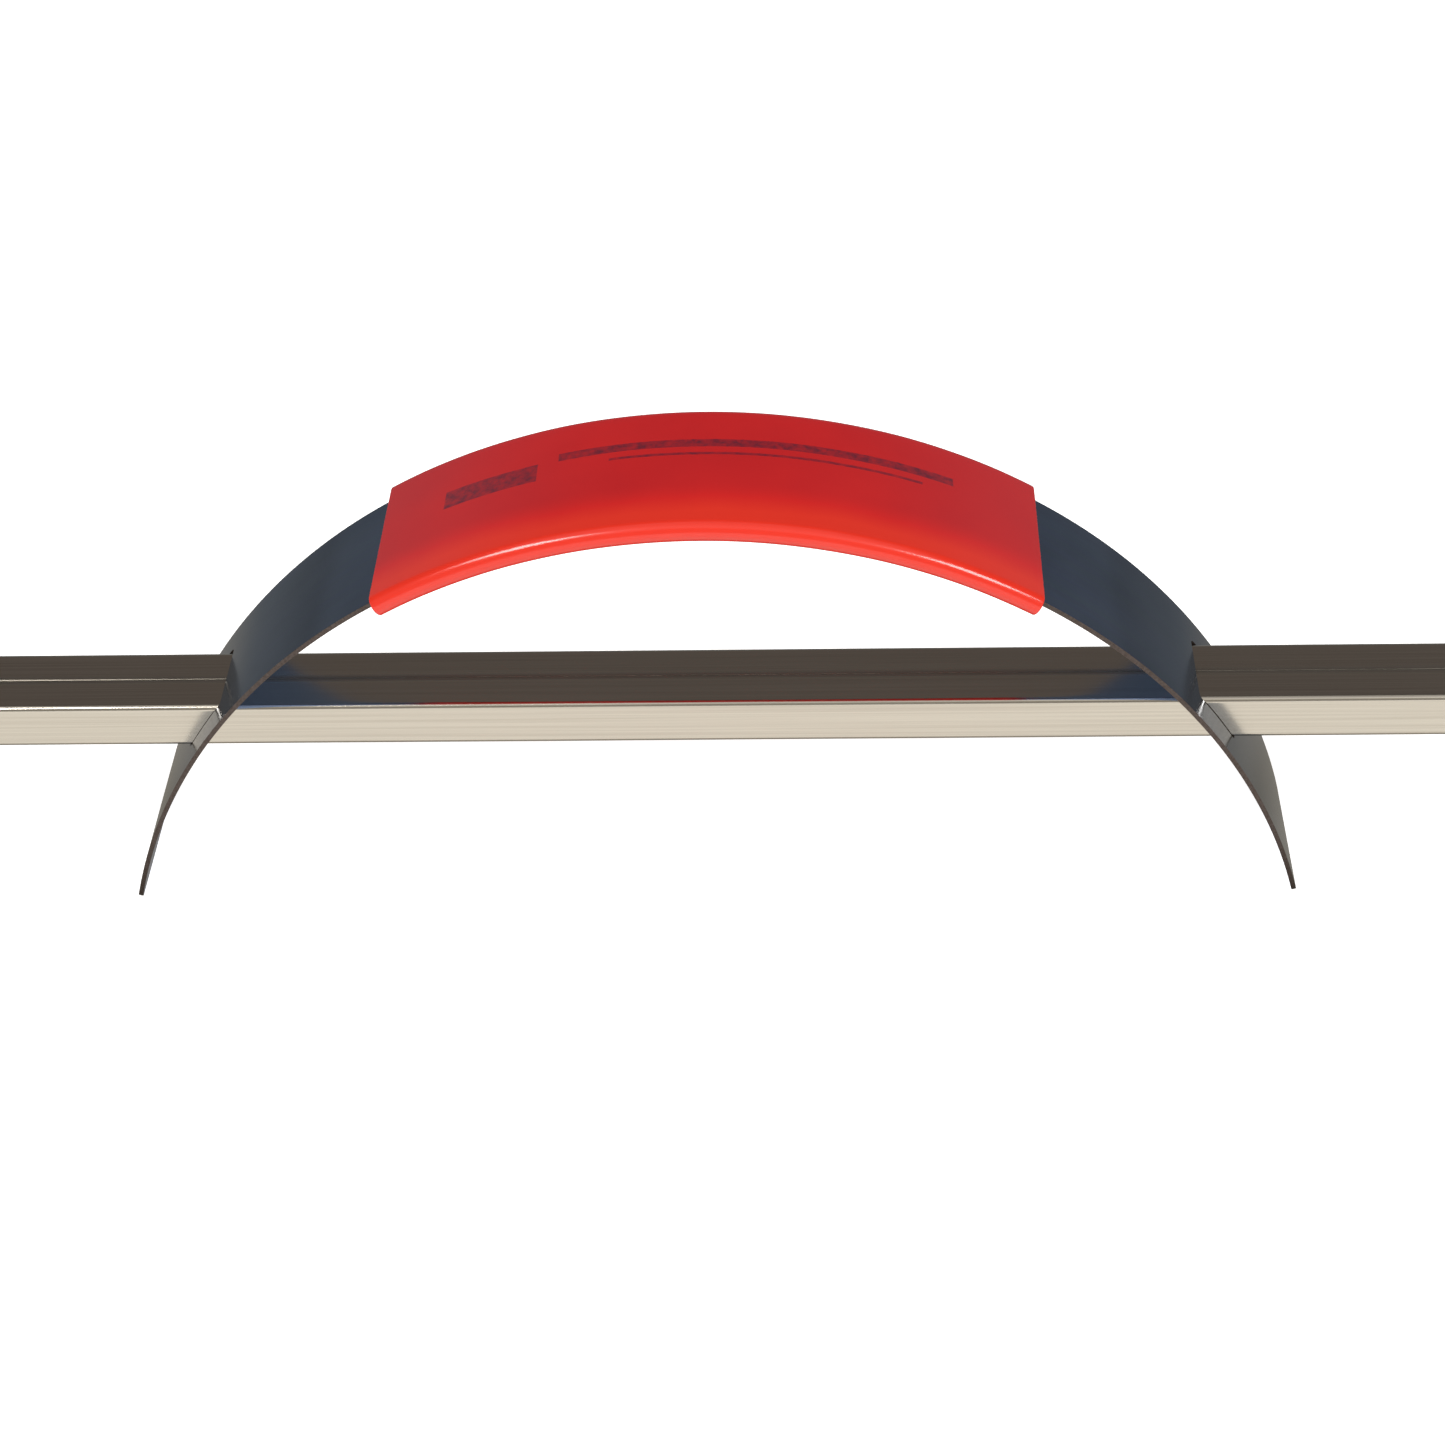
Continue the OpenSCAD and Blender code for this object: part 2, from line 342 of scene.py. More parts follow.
def red_vinyl(colours):
    """Soft PVC, extruded and glossy: a deep clear red, painted brighter towards the front edge as painted
    light, with a wet highlight and a faint orange-peel skin."""
    made, tree, shader = new_material("pvc_vinyl_extruded_gloss")
    flat = node(tree, "ShaderNodeAttribute", attribute_name="strip").outputs["Vector"]
    # The red wanders a little over 15 to 30 mm, as the wall's thickness does
    wander = node(tree, "ShaderNodeTexNoise", {"Scale": 45.0, "Detail": 3.0}, {"Vector": flat})
    axes = node(tree, "ShaderNodeSeparateXYZ", links={"Vector": flat})
    # Painted light: the vinyl is painted a brighter red over its front half, up to its front edge, standing
    # in for light shining through the vinyl
    edge = node(tree, "ShaderNodeMapRange", {"From Min": -0.006, "From Max": -0.0215},
                {"Value": axes.outputs["Y"]}, interpolation_type="SMOOTHSTEP")
    depth = node(tree, "ShaderNodeMath", {1: 0.40}, {0: wander.outputs["Fac"], 2: edge.outputs["Result"]},
                 operation="MULTIPLY_ADD")
    shade = node(tree, "ShaderNodeValToRGB", links={"Fac": depth.outputs["Value"]},
                 ramp=[(0.10, linear(colours.red_deep)), (0.55, linear(colours.red)),
                       (1.0, linear(colours.red_front_painted_light))])
    ink = printed_ink(tree, flat)
    print_on = node(tree, "ShaderNodeMix", {"B": linear(colours.ink)},
                    {"Factor": ink, "A": shade.outputs["Color"]}, data_type="RGBA")
    # Orange peel of an extruded skin: cells about 1.2 mm across
    peel = node(tree, "ShaderNodeTexNoise", {"Scale": 800.0, "Detail": 2.0}, {"Vector": flat})
    relief = node(tree, "ShaderNodeBump", {"Strength": 0.12, "Distance": 0.00004},
                  {"Height": peel.outputs["Fac"]})
    gloss = node(tree, "ShaderNodeMapRange", {"To Min": 0.12, "To Max": 0.24},
                 {"Value": wander.outputs["Fac"]})
    finish_shader(tree, shader, Base_Color=print_on.outputs["Result"], Roughness=gloss.outputs["Result"],
                  Normal=relief.outputs["Normal"], IOR=1.53)
    return made


def stainless(colours):
    """Stainless sheet, cold rolled and folded: satin, with long streaks along the bar that
    stretch what it reflects."""
    made, tree, shader = new_material("stainless_sheet_rolled_satin")
    place = node(tree, "ShaderNodeTexCoord").outputs["Object"]
    # Rolling streaks are about 0.1 mm apart and run for 100 mm; drawn 0.5 mm apart
    lines = node(tree, "ShaderNodeMapping", {"Scale": (9, 2000, 2000)}, {"Vector": place})
    rolled = node(tree, "ShaderNodeTexNoise", {"Scale": 1.0, "Detail": 4.0, "Roughness": 0.6},
                  {"Vector": lines.outputs["Vector"]})
    # Handling marks: broad faint patches 40 mm long
    patch = node(tree, "ShaderNodeTexNoise", {"Scale": 28.0, "Detail": 5.0}, {"Vector": place})
    shade = node(tree, "ShaderNodeValToRGB", links={"Fac": rolled.outputs["Fac"]},
                 ramp=[(0.34, linear(colours.steel_deep)), (0.62, linear(colours.steel))])
    # The sheet is torn and dulled where it was cut along the seam
    worked = node(tree, "ShaderNodeAttribute", attribute_name="worked").outputs["Fac"]
    satin = node(tree, "ShaderNodeMapRange", {"To Min": 0.14, "To Max": 0.26},
                 {"Value": patch.outputs["Fac"]})
    gloss = node(tree, "ShaderNodeMath", {1: 0.22}, {0: worked, 2: satin.outputs["Result"]},
                 operation="MULTIPLY_ADD")
    dull = node(tree, "ShaderNodeMix", {"B": linear(colours.steel_torn)},
                {"Factor": worked, "A": shade.outputs["Color"]}, data_type="RGBA")
    relief = node(tree, "ShaderNodeBump", {"Strength": 0.05, "Distance": 0.00002},
                  {"Height": rolled.outputs["Fac"]})
    finish_shader(tree, shader, Base_Color=dull.outputs["Result"], Roughness=gloss.outputs["Value"],
                  Normal=relief.outputs["Normal"], Metallic=1.0)
    return made


def moulded_plug(colours):
    """ABS, injection moulded in a lightly sparked tool: black with a fine even matt grain."""
    made, tree, shader = new_material("abs_moulded_matt")
    place = node(tree, "ShaderNodeTexCoord").outputs["Object"]
    # Spark-eroded grain is about 0.15 mm; drawn at 0.3 mm
    grain = node(tree, "ShaderNodeTexNoise", {"Scale": 3300.0, "Detail": 2.0}, {"Vector": place})
    shade = node(tree, "ShaderNodeValToRGB", links={"Fac": grain.outputs["Fac"]},
                 ramp=[(0.3, linear(colours.plug)), (0.9, linear("#2a2a2d"))])
    relief = node(tree, "ShaderNodeBump", {"Strength": 0.25, "Distance": 0.00004},
                  {"Height": grain.outputs["Fac"]})
    finish_shader(tree, shader, Base_Color=shade.outputs["Color"], Normal=relief.outputs["Normal"],
                  Roughness=0.42, IOR=1.53)
    return made


def drawn_aluminium(colours):
    """Aluminium, cold headed: bright and a little uneven from the setting tool."""
    made, tree, shader = new_material("aluminium_cold_headed")
    place = node(tree, "ShaderNodeTexCoord").outputs["Object"]
    dents = node(tree, "ShaderNodeTexNoise", {"Scale": 1400.0, "Detail": 3.0}, {"Vector": place})
    shade = node(tree, "ShaderNodeValToRGB", links={"Fac": dents.outputs["Fac"]},
                 ramp=[(0.3, linear("#a7a9ac")), (0.65, linear(colours.rivet))])
    relief = node(tree, "ShaderNodeBump", {"Strength": 0.2, "Distance": 0.00005},
                  {"Height": dents.outputs["Fac"]})
    finish_shader(tree, shader, Base_Color=shade.outputs["Color"], Normal=relief.outputs["Normal"],
                  Metallic=1.0, Roughness=0.3)
    return made


def ground_ferrite(colours):
    """Ferrite, pressed, fired and ground: charcoal ceramic with a fine sugary grain."""
    made, tree, shader = new_material("ferrite_fired_ground")
    place = node(tree, "ShaderNodeTexCoord").outputs["Object"]
    # Sintered grain is far under 0.1 mm; drawn at 0.35 mm
    grain = node(tree, "ShaderNodeTexVoronoi", {"Scale": 2800.0}, {"Vector": place})
    shade = node(tree, "ShaderNodeValToRGB", links={"Fac": grain.outputs["Distance"]},
                 ramp=[(0.1, linear("#35332f")), (0.8, linear(colours.ferrite))])
    relief = node(tree, "ShaderNodeBump", {"Strength": 0.3, "Distance": 0.00003},
                  {"Height": grain.outputs["Distance"]})
    finish_shader(tree, shader, Base_Color=shade.outputs["Color"], Normal=relief.outputs["Normal"],
                  Roughness=0.55, IOR=2.0)
    return made


def mild_steel(colours):
    """Mild steel, cold rolled and oiled: grey, with rolling lines along its length."""
    made, tree, shader = new_material("mild_steel_rolled_oiled")
    place = node(tree, "ShaderNodeTexCoord").outputs["Object"]
    lines = node(tree, "ShaderNodeMapping", {"Scale": (20, 1600, 1600)}, {"Vector": place})
    rolled = node(tree, "ShaderNodeTexNoise", {"Scale": 1.0, "Detail": 3.0},
                  {"Vector": lines.outputs["Vector"]})
    shade = node(tree, "ShaderNodeValToRGB", links={"Fac": rolled.outputs["Fac"]},
                 ramp=[(0.3, linear("#6c6f72")), (0.7, linear(colours.backing))])
    relief = node(tree, "ShaderNodeBump", {"Strength": 0.15, "Distance": 0.00003},
                  {"Height": rolled.outputs["Fac"]})
    finish_shader(tree, shader, Base_Color=shade.outputs["Color"], Normal=relief.outputs["Normal"],
                  Metallic=1.0, Roughness=0.38)
    return made


def packing_foam(colours):
    """EVA foam, slit from sheet: dull black with open cells about 0.6 mm across."""
    made, tree, shader = new_material("eva_foam_slit")
    place = node(tree, "ShaderNodeTexCoord").outputs["Object"]
    cells = node(tree, "ShaderNodeTexVoronoi", {"Scale": 1650.0}, {"Vector": place})
    shade = node(tree, "ShaderNodeValToRGB", links={"Fac": cells.outputs["Distance"]},
                 ramp=[(0.05, linear("#141415")), (0.6, linear(colours.foam))])
    relief = node(tree, "ShaderNodeBump", {"Strength": 0.5, "Distance": 0.0001},
                  {"Height": cells.outputs["Distance"]})
    finish_shader(tree, shader, Base_Color=shade.outputs["Color"], Normal=relief.outputs["Normal"],
                  Roughness=0.95, IOR=1.45)
    return made


# ---------------------------------------------------------------- pieces


def arch(sizes):
    """Radii, centre height and leg angle of the bent strip, from the frame's boxes."""
    top, half = STRAP_BOX[1].z, STRAP_BOX[1].x
    low, high = half, half * 1.2
    for _ in range(60):
        # The feet reach out to outer * sin(leg), and their inner corners stand on the floor
        outer = (low + high) / 2
        leg = math.asin(half / outer)
        over = top - outer + (outer - sizes.strap_thickness) * math.cos(leg)
        low, high = (low, outer) if over > 0 else (outer, high)
    return outer, outer - sizes.strap_thickness, top - outer, leg


class SWEEPER_OT_handle_strap(bpy.types.Operator):
    """Bends the spring-steel strip to its arch, with a window in each leg for the bar"""

    bl_idname = "sweeper.handle_strap"
    bl_label = "Handle strap"

    def execute(self, context):
        sizes, colours = context.scene.sweeper_sizes, context.scene.sweeper_colours
        outer, inner, centre, leg = arch(sizes)
        middle = (outer + inner) / 2
        end = middle * leg
        half = STRAP_BOX[1].y
        bottom, top = CASE_BOX[0].z, CASE_BOX[1].z
        at = math.acos(((top + bottom) / 2 - centre) / middle)

        def along(height, radius):
            """Where the leg at a radius meets a height, measured along the strip"""
            return middle * at + radius * math.sin(math.acos((height - centre) / radius) - at)

        gap = sizes.window_gap
        start = min(along(top + gap, inner), along(top + gap, outer))
        stop = max(along(bottom - gap, inner), along(bottom - gap, outer))
        opening = CASE_BOX[1].y + gap
        r, foot = sizes.window_corner, sizes.foot_corner

        require(opening < half - r, "The window leaves no web at the strap's edges")
        require(2 * r < stop - start and stop < end - foot, "The window doesn't fit in the strap's leg")

        # Stations along one half of the strip, close together at the round corners
        turns = [1 - math.cos(math.pi / 2 * k / 6) for k in range(7)]
        stations = [i * start / 96 for i in range(96)]
        stations += [start + r * t for t in turns]
        stations += [start + r + (stop - start - 2 * r) * k / 12 for k in range(1, 12)]
        stations += [stop - r * t for t in reversed(turns)]
        stations += [stop + (end - foot - stop) * k / 40 for k in range(1, 40)]
        stations.append(end - foot)
        stations += [end - foot + foot * math.sin(math.pi / 2 * k / 8) for k in range(1, 9)]
        stations = [-u for u in reversed(stations[1:])] + stations

        def width_at(u):
            """Half the strip's width, less at its rounded foot corners"""
            over = max(0.0, abs(u) - (end - foot))
            return half - foot + math.sqrt(max(0.0, foot * foot - over * over))

        def window_at(u):
            """Half the window's width, less at its rounded corners"""
            near = min(max(0.0, abs(u) - start), max(0.0, stop - abs(u)))
            short = max(0.0, r - near)
            return opening - r + math.sqrt(max(0.0, r * r - short * short))

        def inside(u):
            return start + 1e-9 < abs(u) < stop - 1e-9

        bm = bmesh.new()
        flat = bm.verts.layers.float_vector.new("strip")
        rows = [-1, -0.66, -0.33, 0, 0.25, 0.5, 0.75, 1, 1.33, 1.66, 2]
        grids = []
        for z in (sizes.strap_thickness / 2, -sizes.strap_thickness / 2):
            grid = []
            for u in stations:
                w, o = width_at(u), window_at(u)
                column = []
                for k, row in enumerate(rows):
                    v = -o + row * (w - o) if row <= 0 else (
                        o + (row - 1) * (w - o) if row >= 1 else -o + row * 2 * o)
                    column.append(None if inside(u) and 0 < row < 1 else bm.verts.new((u, v, z)))
                grid.append(column)
            grids.append(grid)
        upper, lower = grids
        n = len(rows)

        def solid(i, k):
            """Whether there is steel in a cell, and not the window"""
            quad = [upper[i][k], upper[i + 1][k], upper[i + 1][k + 1], upper[i][k + 1]]
            between = abs(stations[i] + stations[i + 1]) / 2
            return None not in quad and not (0 <= rows[k] < 1 and start < between < stop)

        cells = {(i, k) for i in range(len(stations) - 1) for k in range(n - 1) if solid(i, k)}
        rim = set()
        for i, k in cells:
            for g in (upper, lower):
                bm.faces.new((g[i][k], g[i + 1][k], g[i + 1][k + 1], g[i][k + 1]))
            borders = {(0, -1): ((i, k), (i + 1, k)), (0, 1): ((i, k + 1), (i + 1, k + 1)),
                       (-1, 0): ((i, k), (i, k + 1)), (1, 0): ((i + 1, k), (i + 1, k + 1))}
            for (di, dk), ((i0, k0), (i1, k1)) in borders.items():
                if (i + di, k + dk) not in cells:
                    side = bm.faces.new((upper[i0][k0], upper[i1][k1], lower[i1][k1], lower[i0][k0]))
                    side.material_index = 1
                    rim.add(side)
        bmesh.ops.delete(bm, geom=[v for v in bm.verts if not v.link_faces], context="VERTS")
        bmesh.ops.recalc_face_normals(bm, faces=bm.faces)
        edges = [e for e in bm.edges if len(e.link_faces) == 2 and sum(f in rim for f in e.link_faces) == 1]
        bmesh.ops.bevel(bm, geom=edges, offset=sizes.strap_edge, segments=2, profile=0.5,
                        affect="EDGES", clamp_overlap=True, material=1)
        for v in bm.verts:
            u, across, z = v.co
            v[flat] = (u, across, z)
            turn, radius = u / middle, middle + z
            v.co = (radius * math.sin(turn), across, centre + radius * math.cos(turn))
        mesh_object("handle_strap_steel", bm, [blued_steel(colours), sheared_edge(colours)],
                    "handle", ["handle_strap"])
        return {"FINISHED"}


class SWEEPER_OT_grip_sleeve(bpy.types.Operator):
    """Draws the vinyl sleeve along the top of the arch, hollow, with its ends cut square"""

    bl_idname = "sweeper.grip_sleeve"
    bl_label = "Grip sleeve"

    def execute(self, context):
        sizes, colours = context.scene.sweeper_sizes, context.scene.sweeper_colours
        outer, inner, centre, _ = arch(sizes)
        middle = (outer + inner) / 2
        width, height = 2 * GRIP_BOX[1].y, sizes.grip_height
        # The sleeve's two end faces, on its outer radius
        left = math.asin(GRIP_BOX[0].x / (middle + height / 2))
        right = math.asin(GRIP_BOX[1].x / (middle + height / 2))
        bore_w, bore_h = 2 * (STRAP_BOX[1].y + sizes.grip_bore), sizes.strap_thickness + 2 * sizes.grip_bore
        lip = sizes.grip_lip
        lip_turn = lip / middle
        bore_corner = 0.05 * MM
        corner = height / 2 - bore_corner
        require(bore_w < width and bore_h < height - 2 * lip, "The sleeve's bore breaks through its wall")

        bm = bmesh.new()
        flat = bm.verts.layers.float_vector.new("strip")

        def ring(angle, w, h, c, soft=0.0):
            """One section of the sleeve or its bore, square to the arch"""
            made = []
            for across, out in rounded_loop(w, h, c, 24, 1, 8):
                # A drawn sleeve is a little thinner here and there, by up to 0.12 mm
                lower = soft * 0.06 * MM * (1 + noise.noise(Vector((angle * 9, across * 60, out * 300))))
                scale = 1 - lower / (h / 2)
                v = bm.verts.new((0, 0, 0))
                v[flat] = (angle * middle, across, out)
                radius = middle + out * scale
                v.co = (radius * math.sin(angle), across, centre + radius * math.cos(angle))
                made.append(v)
            return made

        rings = []

        def round_over(face, side, order):
            """Rounds the sleeve over into one of its flat end faces"""
            for k in order:
                a = math.pi / 6 * k
                less = lip * (1 - math.cos(a))
                rings.append(ring(face - side * lip_turn * (1 - math.sin(a)), width - 2 * less,
                                  height - 2 * less, corner - less, 1.0))

        steps = 120
        for k in range(steps + 1):
            angle = left + lip_turn + (right - left - 2 * lip_turn) * k / steps
            rings.append(ring(angle, width, height, corner, 1.0))
        round_over(right, 1, (1, 2, 3))
        for k in range(steps + 1):
            rings.append(ring(right + (left - right) * k / steps, bore_w, bore_h, bore_corner))
        round_over(left, -1, (3, 2, 1))
        skin(bm, rings, close=True)
        mesh_object("grip_sleeve_vinyl", bm, [red_vinyl(colours)], "handle", ["grip_sleeve"])
        return {"FINISHED"}


class SWEEPER_OT_bar_case(bpy.types.Operator):
    """Folds the stainless sheet round the bar, its two edges rolled in at the seam on top"""

    bl_idname = "sweeper.bar_case"
    bl_label = "Bar case"

    def execute(self, context):
        sizes, colours = context.scene.sweeper_sizes, context.scene.sweeper_colours
        low, high = CASE_BOX
        width, height = high.y - low.y, high.z - low.z
        middle = (high.z + low.z) / 2
        wall, corner, gap = sizes.case_wall, sizes.case_corner, sizes.seam_gap / 2
        seam_zone = 1.4 * MM
        require(max(wall, corner) < height / 2, "The sheet is too thick or its folds too round for the case")

        def path(inset, radius):
            """Section of one face of the sheet, from near the seam's back lip round to its front lip"""
            w, h = width / 2 - inset, height / 2 - inset
            points = [(seam_zone + (w - radius - seam_zone) * k / 8, h) for k in range(8)]
            for cx, cy, start in ((w - radius, h - radius, 90), (w - radius, radius - h, 0),
                                  (radius - w, radius - h, -90), (radius - w, h - radius, -180)):
                for k in range(7):
                    a = math.radians(start - 90 * k / 6)
                    points.append((cx + radius * math.cos(a), cy + radius * math.sin(a)))
                if start == 0:
                    points += [(cx - (2 * w - 2 * radius) * k / 14, -h) for k in range(1, 14)]
            points += [(-a, b) for a, b in reversed(points[:8])]
            return points

        outside, inside = path(0.0, corner), path(wall, max(0.05 * MM, corner - wall))

        def spring(x):
            """How far the seam has sprung open: pressed tight along the middle, more open at the left end"""
            start, most = (0.095, 1.0) if x < 0 else (0.15, 0.3)
            reach = min(1.0, max(0.0, abs(x) - start) / 0.07)
            return most * reach * (1 + 0.5 * noise.noise(Vector((x * 60, 3, 3))))

        def lip(x):
            """The sheared edge of the sheet, rounded where it turns in, from the top to the inside"""
            open_by = min(1.0, spring(x))
            half, r = gap * (0.3 + 0.7 * open_by), (0.06 + 0.54 * open_by) * MM
            points = [(half + r - r * math.sin(t), height / 2 - r + r * math.cos(t))
                      for t in (math.radians(18 * k) for k in range(6))]
            return points + [(half, height / 2 - wall)]

        def worked(a, b):
            """Whether a point of the section lies on the seam's sheared edges"""
            return 1.0 if abs(a) < 0.96 * seam_zone and b > 0 else 0.0

        bm = bmesh.new()
        dulled = bm.verts.layers.float.new("worked")
        count = 220
        rings = []
        for i in range(count + 1):
            x = low.x + (high.x - low.x) * i / count
            edge = lip(x)
            made = []
            for a, b in outside + [(-a, b) for a, b in edge] + list(reversed(inside)) + list(reversed(edge)):
                # Folded sheet is never quite flat: its faces wander inward by up to 0.05 mm
                dip = 0.025 * MM * (1 + noise.noise(Vector((x * 22, a * 90, b * 120))))
                v = bm.verts.new((x, a * (1 - dip / (width / 2)), middle + b * (1 - dip / (height / 2))))
                v[dulled] = worked(a, b)
                made.append(v)
            rings.append(made)
        skin(bm, rings)
        n, m = len(outside), len(edge)
        for ring in (rings[0], rings[-1]):
            for i in range(n - 1):
                bm.faces.new((ring[i], ring[i + 1], ring[2 * n + m - 2 - i], ring[2 * n + m - 1 - i]))
            bm.faces.new([ring[n - 1], *ring[n:n + m], ring[n + m]])
            bm.faces.new([ring[2 * n + m - 1], *ring[2 * n + m:], ring[0]])
        mesh_object("bar_case_stainless", bm, [stainless(colours)], "bar", ["bar_case"])
        return {"FINISHED"}


class SWEEPER_OT_end_plugs(bpy.types.Operator):
    """Moulds the plug in each end of the bar: tapered stem, flange and sunk end face"""

    bl_idname = "sweeper.end_plugs"
    bl_label = "End plugs"

    def execute(self, context):
        sizes, colours = context.scene.sweeper_sizes, context.scene.sweeper_colours
        low, high = PLUG_BOX
        width, height, z = high.y - low.y, high.z - low.z, (high.z + low.z) / 2
        end, face = high.x, high.x - sizes.plug_flange
        tip = face - sizes.plug_depth
        room_w = CASE_BOX[1].y * 2 - 2 * (sizes.case_wall + sizes.plug_fit)
        room_h = CASE_BOX[1].z - CASE_BOX[0].z - 2 * (sizes.case_wall + sizes.plug_fit)
        r = sizes.case_corner
        require(min(room_w, room_h) > 2 * r, "The case leaves no room for the plug's stem")
        f = 0.4 * MM
        loops = [(tip, room_w - 1.2 * MM, room_h - 1.2 * MM, 0.2 * MM),
                 (tip + 1.2 * MM, room_w, room_h, 0.4 * MM),
                 (face, room_w, room_h, 0.4 * MM),
                 (face, width - 0.2 * MM, height - 0.2 * MM, r),
                 (face + 0.1 * MM, width, height, r)]
        for k in range(4):
            a = math.pi / 6 * k
            loops.append((end - f + f * math.sin(a), width - 2 * f * (1 - math.cos(a)),
                          height - 2 * f * (1 - math.cos(a)), r - f * (1 - math.cos(a)) * 0.9))
        loops += [(end, width - 3.2 * MM, height - 3.2 * MM, 0.8 * MM),
                  (end - 0.1 * MM, width - 3.4 * MM, height - 3.4 * MM, 0.75 * MM),
                  (end - 0.5 * MM, width - 3.6 * MM, height - 3.6 * MM, 0.7 * MM),
                  (end - 0.6 * MM, width - 3.9 * MM, height - 3.9 * MM, 0.6 * MM)]
        plastic = moulded_plug(colours)
        for name, side in (("end_plug_left", -1), ("end_plug_right", 1)):
            bm = bmesh.new()
            loft_along_bar(bm, [(side * x, w, h, c) for x, w, h, c in loops], z)
            mesh_object(name + "_moulded", bm, [plastic], "bar", [name])
        return {"FINISHED"}


class SWEEPER_OT_end_rivets(bpy.types.Operator):
    """Sets the blind rivet in the back of each end: domed head, snapped mandrel, shank"""

    bl_idname = "sweeper.end_rivets"
    bl_label = "End rivets"

    def execute(self, context):
        sizes, colours = context.scene.sweeper_sizes, context.scene.sweeper_colours
        low, high = RIVET_BOX
        head = (high.x - low.x) / 2
        x, z = (high.x + low.x) / 2, (high.z + low.z) / 2
        seat = CASE_BOX[1].y
        rise = high.y - seat
        shank = sizes.rivet_shank / 2
        require(rise > 0 and head > shank, "The rivet's head doesn't stand on the case")
        dome = (head * head + rise * rise) / (2 * rise)
        profile = [(0.4 * shank, -sizes.rivet_length), (shank - 0.3 * MM, -sizes.rivet_length),
                   (shank, -sizes.rivet_length + 0.3 * MM), (shank, 0.0), (head - 0.08 * MM, 0.0)]
        for k in range(9):
            rad = head - (head - 1.05 * MM) * k / 8
            rad -= 0.02 * MM if k == 0 else 0.0
            profile.append((rad, max(0.06 * MM, rise - dome + math.sqrt(dome * dome - rad * rad))))
        hole = profile[-1][1]
        # The mandrel's hole, and the stub of the mandrel sunk in it
        profile += [(0.95 * MM, hole - 0.1 * MM), (0.92 * MM, hole - 0.5 * MM), (0.84 * MM, hole - 0.52 * MM),
                    (0.80 * MM, hole - 0.38 * MM), (0.3 * MM, hole - 0.30 * MM)]
        metal = drawn_aluminium(colours)
        for name, side in (("end_rivet_left", -1), ("end_rivet_right", 1)):
            bm = bmesh.new()
            turns = [2 * math.pi * k / 40 for k in range(40)]
            rings = [[bm.verts.new((side * x + radius * math.cos(t), seat + depth, z + radius * math.sin(t)))
                      for t in turns] for radius, depth in profile]
            skin(bm, rings)
            bm.faces.new(rings[0])
            bm.faces.new(rings[-1])
            mesh_object(name + "_headed", bm, [metal], "bar", [name])
        return {"FINISHED"}


class SWEEPER_OT_magnet_stack(bpy.types.Operator):
    """Fills the case: ground magnet blocks, backing strip and foam packing strip"""

    bl_idname = "sweeper.magnet_stack"
    bl_label = "Magnet stack"

    def execute(self, context):
        sizes, colours = context.scene.sweeper_sizes, context.scene.sweeper_colours
        require(MAGNETS, "The frame holds no magnets")
        ferrite = ground_ferrite(colours)
        items = [(n, "_ground", ferrite, "ferrite", sizes.magnet_chamfer) for n in MAGNETS]
        items += [("backing_strip", "_rolled", mild_steel(colours), "mild_steel", 0.15 * MM),
                  ("packing_strip", "_foam", packing_foam(colours), "packing_foam", 0.2 * MM)]
        for name, ending, material, slot, c in items:
            low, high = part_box(name)
            width, height, z = high.y - low.y, high.z - low.z, (high.z + low.z) / 2
            spans = max(2, round((high.x - low.x) / 0.012))
            loops = [(low.x, width - 2 * c, height - 2 * c, 0.3 * c)]
            loops += [(low.x + c + (high.x - low.x - 2 * c) * k / spans, width, height, c)
                      for k in range(spans + 1)]
            loops += [(high.x, width - 2 * c, height - 2 * c, 0.3 * c)]
            bm = bmesh.new()
            loft_along_bar(bm, loops, z)
            mesh_object(name + ending, bm, [material], "bar", [name])
        return {"FINISHED"}


